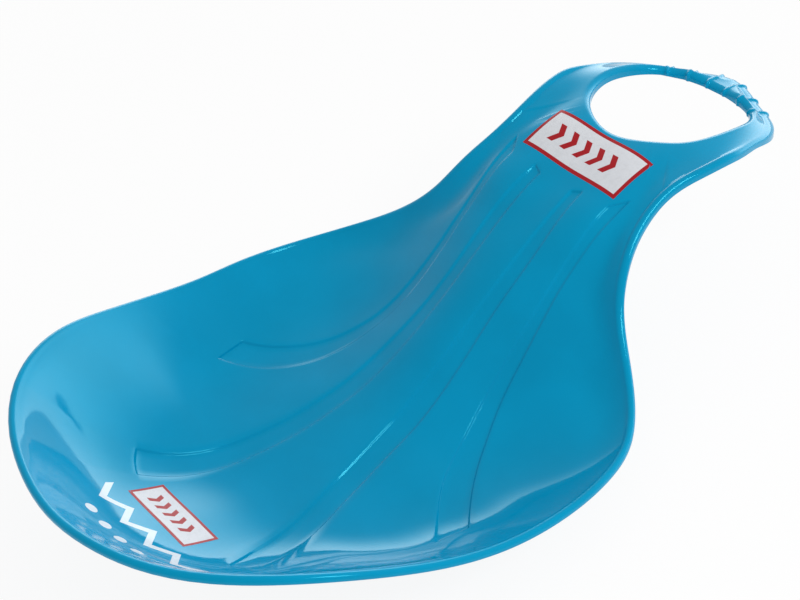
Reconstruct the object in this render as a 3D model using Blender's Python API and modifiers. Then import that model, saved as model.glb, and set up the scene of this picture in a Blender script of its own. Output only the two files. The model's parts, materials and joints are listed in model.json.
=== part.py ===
"""Shovel sled moulded in one piece, with a ringed grip, four runners and two applied labels.

The sled stands as it rests on a floor: +Z is up, +Y runs from the pan to the grip, and the
origin is under the middle of its length, on the floor. Sizes are in millimetres and become
metres where the meshes are made.

The skin is a loft on four rails: the keel, the shoulder, the hollow and the rim's crest.
Its grid fans out from the neck, so that its columns follow the runners and its last row
follows the rim of the pan. The rim and the hand hole are rolled over into a skirt, and
Mirror and Solidify make the wall.
"""
import bmesh
import bpy
import numpy as np
from mathutils import Vector
from mathutils.bvhtree import BVHTree

MM = 0.001

# Moulding
WALL = 2.8
# The block under the floor that cuts the soles flat
SOLE_CUTTER_DEPTH = 20
FLOOR_WIDTH, FLOOR_LENGTH = 500, 800

# Tips of the grip and of the pan's front, on the plane of symmetry: y, z
GRIP_TIP = (299.5, 115.8)
PAN_TIP = (-309.6, 101.5)
# Half widths of the rim, where the skin ends and its rolled bead begins
PAN_HALF_WIDTH = 177
NECK_HALF_WIDTH = 71.7
GRIP_HALF_WIDTH = 78.6
# Rim: x, y, z
RIM = (
    (0, *GRIP_TIP), (29, 288.5, 115.3), (56, 274.2, 117.2), (GRIP_HALF_WIDTH - 6.1, 249, 124.9),
    (GRIP_HALF_WIDTH, 217, 132.8), (GRIP_HALF_WIDTH - 2, 184, 134.2), (NECK_HALF_WIDTH, 150, 129.3),
    (NECK_HALF_WIDTH + 2.3, 122, 118.2), (81.8, 98.5, 103.8), (92.5, 81, 85.8),
    (117.4, 60.8, 60.3), (143.6, 40, 43.6), (158.5, 21.5, 37.2),
    (PAN_HALF_WIDTH - 6, -12, 36.8), (PAN_HALF_WIDTH, -55, 41.2), (PAN_HALF_WIDTH - 0.5, -90, 46),
    (PAN_HALF_WIDTH - 4.5, -132, 58), (PAN_HALF_WIDTH - 12.5, -172, 74), (152, -212, 91),
    (136.4, -241.3, 99.7),
    (111.9, -269.4, 103.6), (81.8, -289.7, 103.5), (42.5, -304, 102.2), (0, *PAN_TIP),
)
# Keel, on the plane of symmetry: y, z
KEEL = (
    GRIP_TIP, (284, 119), (256, 128), (217, 135), (187, 136.1), (156, 132.7), (125, 122.9),
    (93, 108.5), (50, 85), (6, 59.5), (-37, 38.5), (-79, 20.5), (-110, 8.9), (-140, 4.2),
    (-165, 3.7), (-195, 11.5), (-230, 27), (-262, 45), (-288, 69), PAN_TIP,
)
# Shoulder of the ridge: y, share of the half width, z
SHOULDER = (
    (GRIP_TIP[0], 0.5, GRIP_TIP[1]), (256, 0.55, 128), (217, 0.52, 134.5), (156, 0.66, 132.3),
    (118, 0.78, 118.4),
    (92, 0.66, 104), (64, 0.5, 83.5), (45, 0.41, 68), (17, 0.39, 48), (-7, 0.42, 31),
    (-26, 0.45, 20.5), (-44, 0.5, 15), (-62, 0.5, 15), (-86, 0.5, 10.5), (-112, 0.5, 6.8),
    (-139, 0.5, 5.8), (-166, 0.5, 9.1), (-192, 0.5, 19.5), (-230, 0.5, 36), (-262, 0.5, 55),
    (-288, 0.5, 79), (PAN_TIP[0], 0.5, PAN_TIP[1]),
)
# Hollow beside the ridge and foot of the pan's wall: y, share of the half width, z
HOLLOW = (
    (GRIP_TIP[0], 0.8, GRIP_TIP[1]), (217, 0.8, 134), (156, 0.84, 129.5), (118, 0.9, 116), (92, 0.85, 96.5),
    (64, 0.78, 66), (45, 0.75, 43), (17, 0.72, 16), (-10, 0.7, 3.3), (-36, 0.7, 2.4),
    (-70, 0.7, 9), (-100, 0.74, 16), (-139, 0.76, 26), (-166, 0.78, 39), (-192, 0.78, 52),
    (-230, 0.78, 68), (-262, 0.78, 80), (-288, 0.78, 92), (PAN_TIP[0], 0.78, PAN_TIP[1]),
)
# Slope of the skin across the sled where it meets the rim: y, degrees
RIM_SLOPE = (
    (GRIP_TIP[0], -12), (250, -5), (217, 0), (118, 0), (92, 4), (64, 10), (45, 14), (30, 20), (10, 30),
    (-40, 36), (-80, 38), (-139, 39), (-192, 38), (-230, 36), (-262, 30), (-288, 18), (PAN_TIP[0], 0),
)

# Runners: their edges in plan from the neck to the rim of the pan: x, y
NECK_Y = 150
RUNNER_DEPTH = 1.0
RUNNER_FLANK = 3.0
# The most of a runner's width that one flank takes
WIDEST_FLANK = 0.3
INNER_RUNNER_INSIDE = (
    (13, 150), (15, 115), (15, 60), (15, 10), (18, -50), (24, -105), (31, -145), (40, -184),
    (46.5, -210), (55, -232), (66, -268), (72, -294.5),
)
INNER_RUNNER_OUTSIDE = (
    (24, 150), (25, 119), (28, 70), (28, 30), (32, -12), (36, -45), (41, -90), (47, -125),
    (56, -162), (66, -195), (77, -219), (97, -248), (115, -268.3),
)
OUTER_RUNNER_INSIDE = (
    (47, 150), (48, 118), (49, 60), (52, 12), (59, -20), (70, -51), (81, -73), (91, -86),
    (103, -98), (115, -109), (127, -119), (144, -131), (PAN_HALF_WIDTH - 5, -150),
)
OUTER_RUNNER_OUTSIDE = (
    (58, 150), (59, 133), (58, 100), (58, 60), (62, 25), (69, -5), (79, -27), (90, -46),
    (102, -62), (116, -77), (132.5, -92), (148, -104), (PAN_HALF_WIDTH + 1, -121),
)
# Where the runners begin at the neck and end in the pan, on each edge: y
INNER_RUNNER_TOP = (115, 119)
INNER_RUNNER_END = (-232, -219)
OUTER_RUNNER_TOP = (118, 133)
OUTER_RUNNER_END = (-119, -92)
# How far before the outer runners' ends the row of their ends crosses the keel and the inner runner
CROSS_ROW_LEAD = (16, 12, 8)
# The last row of the keel before the inner runners' ends lies this far past them
KEEL_ROW_PAST = 6
# How late the columns of each lane swing out to the rim, as a power of the way along them
LANE_SWING = (3, 3, 3, 3, 1.3)
# The neck's edge meets the rim of the pan at this half width
SHOULDER_CORNER_X = 160
# Rows along the neck's edge: the first one's length and those before the corner
EDGE_TOP, EDGE_ENDS = 20, (28, 14)

# Rolled bead of the edge: width and drop of the roll, the skirt below it and its steepest rise
PAN_ROLL, PAN_DROP, PAN_SKIRT, BEAD_RISE = 3.4, 3.4, 1.3, 60
NECK_ROLL, NECK_DROP, NECK_SKIRT = 3.6, 3.6, 2.8
GRIP_ROLL, GRIP_DROP, GRIP_SKIRT, GRIP_RISE = 13.5, 7.0, 4.5, -12
ROLL_STATIONS = (
    (315, GRIP_ROLL, GRIP_DROP, GRIP_SKIRT, GRIP_RISE), (285, GRIP_ROLL, GRIP_DROP, GRIP_SKIRT, GRIP_RISE),
    (235, NECK_ROLL, NECK_DROP, NECK_SKIRT, BEAD_RISE), (95, NECK_ROLL, NECK_DROP, NECK_SKIRT, BEAD_RISE),
    (20, PAN_ROLL, PAN_DROP, PAN_SKIRT, BEAD_RISE), (-315, PAN_ROLL, PAN_DROP, PAN_SKIRT, BEAD_RISE),
)

# Hand hole: its outline in plan, and the lower edge of its flange: x, y and y, z
HOLE = (
    (0, 283.6), (24, 280.6), (41.3, 273.6), (52.6, 259), (56.6, 238), (54.8, 217), (48.6, 200.8),
    (35.2, 185.3), (17.5, 174.8), (0, 171.8),
)
HOLE_LOWER_EDGE = ((289, 112.5), (270, 115.5), (250, 120), (226, 125.5), (200, 127), (170, 126))
HOLE_ROLL, HOLE_DROP = 5.0, 4.0
# Share of the neck's width that faces the hole's narrow end, and where the bar begins
HOLE_NECK_SHARE = 0.62
BAR_Y = 240

# Grip rings, at these distances from the middle on both sides
RING_X = (9.0, 26.5, 44.0)
RING_HALF_WIDTH = 3.2
RING_HEIGHT = 2.0

# Labels: applied films over the skin: centre, size across and along, in plan
LABEL_FILM = 0.3
LABEL_GAP = 0.35
NECK_LABEL_CENTRE, NECK_LABEL_SIZE = (0, 145), (96, 40)
FRONT_LABEL_CENTRE, FRONT_LABEL_SIZE = (-8, -233), (67, 25.5)

# Grid: columns of each lane from the keel outwards, and rows between the special rows
LANE_COLUMNS = (3, 2, 4, 3, 10)
ROW_COUNTS = (2, 1, 12, 1, 4, 1, 4)
HANDLE_ROWS = 2
SIDE_COLUMNS = 7
ROLL_STEPS = 4

SHELL_COLOUR = (0.0, 0.27, 0.47, 1)
LABEL_COLOUR = (0.75, 0.77, 0.78, 1)


def knot_slopes(x, z, first=None, last=None):
    """Slopes at the knots of a cubic spline of continuous curvature, free at an end without one."""
    h = np.diff(x)
    d = np.diff(z) / h
    count = x.shape[-1]
    matrix = np.zeros(x.shape + (count,))
    right = np.zeros(x.shape)
    for i in range(1, count - 1):
        matrix[..., i, i - 1] = h[..., i]
        matrix[..., i, i] = 2 * (h[..., i - 1] + h[..., i])
        matrix[..., i, i + 1] = h[..., i - 1]
        right[..., i] = 3 * (h[..., i] * d[..., i - 1] + h[..., i - 1] * d[..., i])
    for end, beside, slope, secant in ((0, 1, first, d[..., 0]), (-1, -2, last, d[..., -1])):
        matrix[..., end, end] = 1 if slope is not None else 2
        matrix[..., end, beside] = 0 if slope is not None else 1
        right[..., end] = slope if slope is not None else 3 * secant
    return np.linalg.solve(matrix, right[..., None])[..., 0]


def cubic(x, z, slope, query, span):
    """Value of a cubic spline at query, which lies in the given span of its knots."""
    def pick(values, offset):
        return np.take_along_axis(values, (span + offset)[..., None], -1)[..., 0]
    x0, x1, z0, z1 = pick(x, 0), pick(x, 1), pick(z, 0), pick(z, 1)
    h = x1 - x0
    t = (query - x0) / h
    curve = h * t * (1 - t) * ((1 - t) * pick(slope, 0) - t * pick(slope, 1))
    return (1 + 2 * t) * (1 - t) ** 2 * z0 + t * t * (3 - 2 * t) * z1 + curve


class Spline:
    """A cubic spline through points given in rising or falling order."""

    def __init__(self, x, z, first=None, last=None, overshoot=True):
        x, z = np.array(x, float), np.array(z, float)
        if x[0] > x[-1]:
            x, z, first, last = x[::-1], z[::-1], last, first
        self.x, self.z = x, z
        self.slope = knot_slopes(x, z, first, last)
        if not overshoot:
            secant = np.diff(z) / np.diff(x)
            low = np.minimum(np.abs(np.r_[secant[0], secant]), np.abs(np.r_[secant, secant[-1]]))
            self.slope = np.clip(self.slope, -3 * low, 3 * low)

    def __call__(self, query):
        query = np.clip(np.asarray(query, float), self.x[0], self.x[-1])
        span = np.clip(np.searchsorted(self.x, query) - 1, 0, len(self.x) - 2)
        wide = [np.broadcast_to(a, query.shape + a.shape) for a in (self.x, self.z, self.slope)]
        return cubic(*wide, query, span)


class Rail:
    """A curve through points by the length of its chords, square to the symmetry plane if asked."""

    def __init__(self, points, square_start=False, square_end=False):
        points = np.array(points, float)
        chords = np.linalg.norm(np.diff(points[:, :2], axis=0), axis=1)
        knots = np.r_[0, np.cumsum(chords)]
        self.length = knots[-1]
        self.axes = []
        for axis in range(points.shape[1]):
            out = 1 if axis == 0 else 0
            self.axes.append(Spline(knots, points[:, axis],
                                    out if square_start else None, -out if square_end else None))
        self.fine = np.linspace(0, self.length, 4001)
        self.fine_points = self(self.fine)

    def __call__(self, s):
        return np.stack([axis(s) for axis in self.axes], -1)

    def at(self, axis, value, start=0.0, end=None):
        """Length along the rail, between start and end, at which a coordinate takes a value."""
        end = self.length if end is None else end
        part = (self.fine >= start) & (self.fine <= end)
        values = self.fine_points[part, axis]
        order = np.argsort(values)
        return float(np.interp(value, values[order], self.fine[part][order]))

    def outward(self, s):
        """Unit normals in plan, to the left of the way along the rail."""
        step = 0.05
        way = self(np.clip(s + step, 0, self.length)) - self(np.clip(s - step, 0, self.length))
        way = way[..., :2] / np.linalg.norm(way[..., :2], axis=-1, keepdims=True)
        return np.stack([-way[..., 1], way[..., 0]], -1)


rim = Rail(RIM, square_start=True, square_end=True)
hole = Rail(HOLE, square_start=True, square_end=True)
keel_height = Spline(*zip(*KEEL))
shoulder_share = Spline(*list(zip(*SHOULDER))[:2], overshoot=False)
shoulder_height = Spline(*list(zip(*SHOULDER))[::2])
hollow_share = Spline(*list(zip(*HOLLOW))[:2], overshoot=False)
hollow_height = Spline(*list(zip(*HOLLOW))[::2])
rim_slope = Spline(*zip(*RIM_SLOPE), overshoot=False)
roll_size = [Spline([s[0] for s in ROLL_STATIONS], [s[k] for s in ROLL_STATIONS], overshoot=False)
             for k in (1, 2, 3, 4)]
hole_lower_edge = Spline(*zip(*HOLE_LOWER_EDGE))


def height(x, y):
    """Height of the upper skin: at each y, a spline across keel, shoulder, hollow and rim."""
    x, y = np.broadcast_arrays(np.abs(np.asarray(x, float)), np.asarray(y, float))
    ordered = rim.fine_points[::-1]
    half_width = np.maximum(np.interp(y, ordered[:, 1], ordered[:, 0]), 0.001)
    rim_height = np.interp(y, ordered[:, 1], ordered[:, 2])
    knots = np.stack([0 * y, shoulder_share(y), hollow_share(y), 1 + 0 * y], -1)
    heights = np.stack([keel_height(y), shoulder_height(y), hollow_height(y), rim_height], -1)
    slope = knot_slopes(knots, heights, 0, np.tan(np.radians(rim_slope(y))) * half_width)
    share = np.clip(x / half_width, 0, 1)
    span = np.clip((share[..., None] > knots[..., 1:-1]).sum(-1), 0, 2)
    return cubic(knots, heights, slope, share, span)


def skin_normal(x, y):
    """Unit normals of the upper skin."""
    step = 0.5
    across = (height(x + step, y) - height(x - step, y)) / (2 * step)
    along = (height(x, y + step) - height(x, y - step)) / (2 * step)
    normal = np.stack([-across, -along, 1 + 0 * across], -1)
    return normal / np.linalg.norm(normal, axis=-1, keepdims=True)


def row_lengths(top, outer_end, inner_end, end):
    """Lengths of the rows along a guide, from the places where the runners begin and end."""
    marks = (0, top, top + RUNNER_FLANK, outer_end - RUNNER_FLANK, outer_end,
             inner_end - RUNNER_FLANK, inner_end, end)
    rows = [0.0]
    for start, stop, count in zip(marks[:-1], marks[1:], ROW_COUNTS):
        rows += [start + (stop - start) * i / count for i in range(1, count + 1)]
    return np.array(rows)


def guides():
    """Points of the rows on the keel, the four runner edges and the neck's edge: lists of plan points."""
    neck_s = rim.at(1, NECK_Y)
    corner_s = rim.at(0, SHOULDER_CORNER_X, neck_s, rim.at(1, 0))
    keel = Rail(((0, NECK_Y), (0, 0), (0, RIM[-1][1])))
    inner_in, inner_out = Rail(INNER_RUNNER_INSIDE), Rail(INNER_RUNNER_OUTSIDE)
    outer_in, outer_out = Rail(OUTER_RUNNER_INSIDE), Rail(OUTER_RUNNER_OUTSIDE)
    lines = []
    inner_lines = (
        (keel, INNER_RUNNER_TOP[0], CROSS_ROW_LEAD[0], INNER_RUNNER_END[0] - KEEL_ROW_PAST),
        (inner_in, INNER_RUNNER_TOP[0], CROSS_ROW_LEAD[1], INNER_RUNNER_END[0]),
        (inner_out, INNER_RUNNER_TOP[1], CROSS_ROW_LEAD[2], INNER_RUNNER_END[1]),
    )
    for rail, top, lead, end in inner_lines:
        cross = rail.at(1, OUTER_RUNNER_END[0] - lead)
        lines.append(rail(row_lengths(rail.at(1, top), cross, rail.at(1, end), rail.length)))
    for rail, side in ((outer_in, 0), (outer_out, 1)):
        stop = rail.at(1, OUTER_RUNNER_END[side])
        lines.append(rail(row_lengths(rail.at(1, OUTER_RUNNER_TOP[side]), stop,
                                      (stop + rail.length) / 2, rail.length)))
    edge = corner_s - neck_s
    edge_s = neck_s + row_lengths(EDGE_TOP, edge - EDGE_ENDS[0], edge - EDGE_ENDS[1], edge)
    lines.append(rim(edge_s)[:, :2])
    return lines, edge_s


def lane_width(inner, outer):
    """Width of a lane at each row, square to its run."""
    across = outer - inner
    run = np.gradient((inner + outer) / 2, axis=0)
    run /= np.linalg.norm(run, axis=1, keepdims=True)
    return np.abs(across[:, 0] * run[:, 1] - across[:, 1] * run[:, 0])


def fan():
    """The half grid of the pan and ramp: points as columns by rows, and the rim lengths of its edges."""
    lines, edge_s = guides()
    rows = len(edge_s)
    ends = [rim.length]
    for line in lines[1:5]:
        gaps = np.linalg.norm(rim.fine_points[:, :2] - line[-1], axis=1)
        ends.append(rim.fine[gaps.argmin()])
    ends.append(edge_s[-1])
    marks = np.cumsum(ROW_COUNTS)
    columns, sunk, last_s = [], [], []
    for lane, count in enumerate(LANE_COLUMNS):
        inner, outer = lines[lane], lines[lane + 1]
        if lane in (1, 3):
            flank = np.minimum(RUNNER_FLANK / lane_width(inner, outer), WIDEST_FLANK)
            shares = [0 * flank] + [flank + (1 - 2 * flank) * i / count for i in range(count + 1)]
        else:
            shares = [np.full(rows, i / count) for i in range(count)]
        middle = (inner + outer) / 2
        along = np.r_[0, np.cumsum(np.linalg.norm(np.diff(middle, axis=0), axis=1))]
        bulge = (along / along[-1]) ** LANE_SWING[lane]
        for i, share in enumerate(shares):
            points = inner + (outer - inner) * share[:, None]
            s = ends[lane] + (ends[lane + 1] - ends[lane]) * share[-1]
            points = points + np.outer(bulge, rim(s)[:2] - points[-1])
            depth = np.zeros(rows)
            if lane in (1, 3) and i > 0:
                depth[marks[1]:marks[2 if lane == 3 else 4] + 1] = RUNNER_DEPTH
            columns.append(points)
            sunk.append(depth)
            last_s.append(s)
    columns.append(lines[5])
    sunk.append(np.zeros(rows))
    last_s.append(edge_s[-1])
    plan = np.array(columns)
    z = height(plan[..., 0], plan[..., 1])
    z[:, -1] = rim(np.array(last_s))[:, 2]
    z[-1] = rim(edge_s)[:, 2]
    normal = skin_normal(plan[..., 0], plan[..., 1])
    sink = normal * (np.array(sunk) * normal[..., 2])[..., None]
    return np.concatenate([plan, z[..., None]], -1) - sink, np.array(last_s), edge_s


def handle_lines(neck_row, neck_s):
    """Lines from the hand hole to the neck row and the rim: lengths on the hole and rim, ring share."""
    crest = Rail([tuple(p) for p in hole_crest(np.linspace(0, hole.length, 25))],
                 square_start=True, square_end=True)
    widest = crest.fine[crest.fine_points[:, 0].argmax()]
    offsets = (1.0, 0.5, 0.0, -0.5, -1.0)
    bar = [(x + RING_HALF_WIDTH * o, 1 - abs(o)) for x in reversed(RING_X) for o in offsets]
    lines = []
    bar_end = rim.at(1, BAR_Y)
    neck_share = crest.at(0, HOLE_NECK_SHARE * neck_row[-1, 0], widest, crest.length)
    for x in neck_row[:, 0]:
        share = x / neck_row[-1, 0]
        lines.append((crest.length + (neck_share - crest.length) * share, None, 0.0))
    first_hole, first_rim = crest.at(0, bar[0][0], 0, widest), rim.at(0, bar[0][0], 0, bar_end)
    for i in range(1, SIDE_COLUMNS + 1):
        share = i / (SIDE_COLUMNS + 1)
        lines.append((neck_share + (first_hole - neck_share) * share,
                      neck_s + (first_rim - neck_s) * share, 0.0))
    for k, (x, ring) in enumerate(bar):
        lines.append((crest.at(0, x, 0, widest), rim.at(0, x, 0, bar_end), ring))
        if k % len(offsets) == len(offsets) - 1 and k < len(bar) - 1:
            middle = (x + bar[k + 1][0]) / 2
            lines.append((crest.at(0, middle, 0, widest), rim.at(0, middle, 0, bar_end), 0.0))
    lines.append((0.0, 0.0, 0.0))
    return crest, lines


def hole_crest(s):
    """Plan points where the skin turns down into the hand hole."""
    return hole(s)[..., :2] + hole.outward(s) * HOLE_ROLL


def rolled(crest, outward, slope, width, drop, lower):
    """Rows of points from the crest over the roll to the skirt's lower edge, with their normals."""
    start = np.arctan2(1, -slope * width / drop)
    rows = []
    for i in range(1, ROLL_STEPS + 1):
        turn = start * (1 - i / ROLL_STEPS)
        reach = width * (np.cos(turn) - np.cos(start))
        fall = drop * (np.sin(turn) - np.sin(start))
        normal = np.concatenate([outward * np.cos(turn)[:, None], np.sin(turn)[:, None]], 1)
        points = np.concatenate([crest[:, :2] + outward * reach[:, None], (crest[:, 2] + fall)[:, None]], 1)
        rows.append((points, normal))
    skirt = rows[-1][0].copy()
    skirt[:, 2] = np.minimum(lower(skirt), skirt[:, 2] - 1.0)
    rows.append((skirt, rows[-1][1]))
    return rows


class Skin:
    """Collects the vertices and faces of the half skin."""

    def __init__(self):
        self.mesh = bmesh.new()

    def row(self, points):
        return [self.mesh.verts.new((0 if abs(x) < 1e-6 else x * MM, y * MM, z * MM)) for x, y, z in points]

    def bridge(self, first, second):
        """Faces between two rows of equal length, with the first to the left of its way."""
        for i in range(len(first) - 1):
            self.mesh.faces.new((first[i], first[i + 1], second[i + 1], second[i]))


def slope_at(points, outward):
    """Slope of the skin along a plan direction, just inside the given points."""
    step = 1.5
    inner = points[:, :2] - outward * step
    return (points[:, 2] - height(inner[:, 0], inner[:, 1])) / step


def shell_mesh():
    """Half of the sled's outer skin as an open mesh: pan, ramp, neck, grip and rolled edges."""
    skin = Skin()
    grid, last_s, edge_s = fan()
    columns = [skin.row(column) for column in grid]
    for left, right in zip(columns[:-1], columns[1:]):
        skin.bridge(left, right)

    neck_row = grid[:, 0]
    crest_rail, lines = handle_lines(neck_row, edge_s[0])
    hole_s = np.array([line[0] for line in lines])
    ring = np.array([line[2] for line in lines])
    inner_plan = crest_rail(hole_s)
    inner_plan[[0, -1], 0] = 0
    inner = np.concatenate([inner_plan, height(inner_plan[:, 0], inner_plan[:, 1])[:, None]], 1)
    arc_s = np.array([line[1] for line in lines[len(neck_row):]])
    outer = np.concatenate([neck_row, rim(arc_s)])
    lift = ring[:, None] * RING_HEIGHT * np.array((0, 0, 1))
    outer_row = [column[0] for column in columns] + skin.row((outer + lift)[len(neck_row):])
    previous = outer_row
    for k in range(1, HANDLE_ROWS + 1):
        share = k / HANDLE_ROWS
        plan = outer[:, :2] + (inner[:, :2] - outer[:, :2]) * share
        z = height(plan[:, 0], plan[:, 1]) if k < HANDLE_ROWS else inner[:, 2]
        current = skin.row(np.concatenate([plan, z[:, None]], 1) + lift)
        skin.bridge(current, previous)
        previous = current

    crest_normal = -crest_rail.outward(hole_s)
    crest_normal[[0, -1]] = ((0, 1), (0, -1))
    for points, normal in rolled(inner, crest_normal, 0 * hole_s, HOLE_ROLL + 0 * hole_s,
                                 HOLE_DROP + 0 * hole_s, lambda p: hole_lower_edge(p[:, 1])):
        current = skin.row(points + normal * (ring * RING_HEIGHT)[:, None])
        skin.bridge(current, previous)
        previous = current

    edge_s_all = np.concatenate([last_s, edge_s[-2::-1], arc_s])
    edge_verts = [column[-1] for column in columns] + columns[-1][-2::-1] + outer_row[len(neck_row):]
    edge = rim(edge_s_all)
    outward = rim.outward(edge_s_all)
    outward[[0, -1]] = ((0, -1), (0, 1))
    width, drop, skirt, rise = (size(edge[:, 1]) for size in roll_size)
    edge_ring = np.concatenate([np.zeros(len(edge_s_all) - len(arc_s)), ring[len(neck_row):]])
    previous = edge_verts
    start = np.maximum(slope_at(edge, outward), np.tan(np.radians(rise)))
    rows = rolled(edge, outward, start, width, drop, lambda p: p[:, 2] - skirt)
    for points, normal in rows:
        current = skin.row(points + normal * (edge_ring * RING_HEIGHT)[:, None])
        skin.bridge(previous, current)
        previous = current
    tip = max(v.co.y for v in skin.mesh.verts), min(v.co.y for v in skin.mesh.verts)
    return skin.mesh, (tip[0] + tip[1]) / 2


def label_mesh(centre, size, skin):
    """A label's lower face, laid on the half skin at its gap: an open grid."""
    film = bmesh.new()
    bmesh.ops.create_grid(film, x_segments=12, y_segments=6, size=0.5)
    for vert in film.verts:
        x = centre[0] + vert.co.x * size[0]
        y = centre[1] + vert.co.y * size[1]
        below = skin.ray_cast(Vector((abs(x) * MM, y * MM, 1)), Vector((0, 0, -1)))[0]
        vert.co = (x * MM, y * MM, below.z + LABEL_GAP * MM)
    return film


def add_object(name, mesh, material, collection, parent):
    """Link a bmesh as a smooth object under its parent."""
    bmesh.ops.recalc_face_normals(mesh, faces=mesh.faces)
    up = sum(face.normal.z * face.calc_area() for face in mesh.faces)
    if up < 0:
        bmesh.ops.reverse_faces(mesh, faces=mesh.faces)
    data = bpy.data.meshes.new(name)
    mesh.to_mesh(data)
    mesh.free()
    data.materials.append(material)
    data.shade_smooth()
    data.set_sharp_from_angle(angle=np.radians(40))
    item = bpy.data.objects.new(name, data)
    collection.objects.link(item)
    item.parent = parent
    return item


def thicken(item, thickness, offset):
    wall = item.modifiers.new("wall", "SOLIDIFY")
    wall.thickness = thickness * MM
    wall.offset = offset
    wall.use_rim = True


def cut_soles(item, collection):
    """Cut what reaches below the floor, so that the sled rests on flat soles."""
    box = bmesh.new()
    bmesh.ops.create_cube(box, size=1)
    bmesh.ops.scale(box, verts=box.verts, vec=(FLOOR_WIDTH * MM, FLOOR_LENGTH * MM, SOLE_CUTTER_DEPTH * MM))
    bmesh.ops.translate(box, verts=box.verts, vec=(0, 0, -SOLE_CUTTER_DEPTH / 2 * MM))
    data = bpy.data.meshes.new("floor_cutter")
    box.to_mesh(data)
    box.free()
    cutter = bpy.data.objects.new("floor_cutter", data)
    cutter.hide_render = True
    cutter.display_type = "WIRE"
    collection.objects.link(cutter)
    cut = item.modifiers.new("flat_soles", "BOOLEAN")
    cut.operation = "DIFFERENCE"
    cut.object = cutter


def plastic(name, colour, roughness):
    material = bpy.data.materials.new(name)
    material.use_nodes = True
    shader = material.node_tree.nodes["Principled BSDF"]
    shader.inputs["Base Color"].default_value = colour
    shader.inputs["Roughness"].default_value = roughness
    shader.inputs["Metallic"].default_value = 0.0
    return material


def main():
    for item in list(bpy.data.objects):
        bpy.data.objects.remove(item, do_unlink=True)
    collection = bpy.data.collections.new("shovel_sled")
    bpy.context.scene.collection.children.link(collection)

    blue = plastic("cyan_polyethylene", SHELL_COLOUR, 0.22)
    film = plastic("label_film", LABEL_COLOUR, 0.35)
    mesh, middle = shell_mesh()
    skin = BVHTree.FromBMesh(mesh)
    frame = bpy.data.objects.new("sled_frame", None)
    frame.location = (0, -middle, 0)
    collection.objects.link(frame)

    shell = add_object("sled_shell", mesh, blue, collection, frame)
    half = shell.modifiers.new("other_half", "MIRROR")
    half.use_axis = (True, False, False)
    half.merge_threshold = 0.00005
    thicken(shell, WALL, -1)
    cutters = bpy.data.collections.new("cutters")
    bpy.context.scene.collection.children.link(cutters)
    cut_soles(shell, cutters)
    for name, centre, size in (("neck_label", NECK_LABEL_CENTRE, NECK_LABEL_SIZE),
                               ("front_label", FRONT_LABEL_CENTRE, FRONT_LABEL_SIZE)):
        label = add_object(name, label_mesh(centre, size, skin), film, collection, frame)
        thicken(label, LABEL_FILM, 1)


main()
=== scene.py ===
"""Shovel sled in glossy cyan polyethylene, with its labels, studio floor and light.

The file is laid out as an add-on. Its sizes are in millimetres in the sled's own frame, where
+Z is up, +Y runs from the pan to the grip, and the floor is at height 0.
"""

import json

import bmesh
import bpy
import numpy as np
from bpy.props import FloatProperty, FloatVectorProperty, PointerProperty
from mathutils import Matrix, Vector

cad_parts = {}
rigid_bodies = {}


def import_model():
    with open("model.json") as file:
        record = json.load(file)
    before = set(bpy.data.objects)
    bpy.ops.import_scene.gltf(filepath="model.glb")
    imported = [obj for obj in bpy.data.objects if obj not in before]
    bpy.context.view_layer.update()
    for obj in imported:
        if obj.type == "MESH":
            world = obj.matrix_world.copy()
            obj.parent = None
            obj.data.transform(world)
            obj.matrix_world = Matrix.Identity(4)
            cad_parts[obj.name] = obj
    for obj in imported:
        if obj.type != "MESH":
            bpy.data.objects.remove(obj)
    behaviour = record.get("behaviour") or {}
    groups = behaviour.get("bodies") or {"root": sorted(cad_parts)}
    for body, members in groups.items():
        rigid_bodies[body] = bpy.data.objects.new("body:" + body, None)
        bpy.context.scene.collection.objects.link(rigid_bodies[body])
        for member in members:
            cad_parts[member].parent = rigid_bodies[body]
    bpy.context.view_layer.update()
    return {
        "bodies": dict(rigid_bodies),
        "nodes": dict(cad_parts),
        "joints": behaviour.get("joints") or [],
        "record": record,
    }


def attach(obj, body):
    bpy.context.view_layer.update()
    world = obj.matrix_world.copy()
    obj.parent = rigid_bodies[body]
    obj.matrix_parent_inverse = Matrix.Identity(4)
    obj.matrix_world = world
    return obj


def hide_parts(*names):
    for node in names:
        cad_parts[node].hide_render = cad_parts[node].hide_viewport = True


bl_info = {
    "name": "Shovel sled",
    "version": (1, 0, 0),
    "blender": (4, 5, 0),
    "location": "3D View > Sidebar > Sled",
    "description": "Builds a moulded shovel sled with its labels, floor, light and camera",
    "category": "Add Mesh",
}

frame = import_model()
MM = 0.001

# Tips of the grip and of the pan's front, on the plane of symmetry: y, z
GRIP_TIP = (299.5, 115.8)
PAN_TIP = (-309.6, 101.5)
# Half widths of the rim, where the skin ends and its rolled bead begins
PAN_HALF_WIDTH = 177
NECK_HALF_WIDTH = 71.7
GRIP_HALF_WIDTH = 78.6
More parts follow.
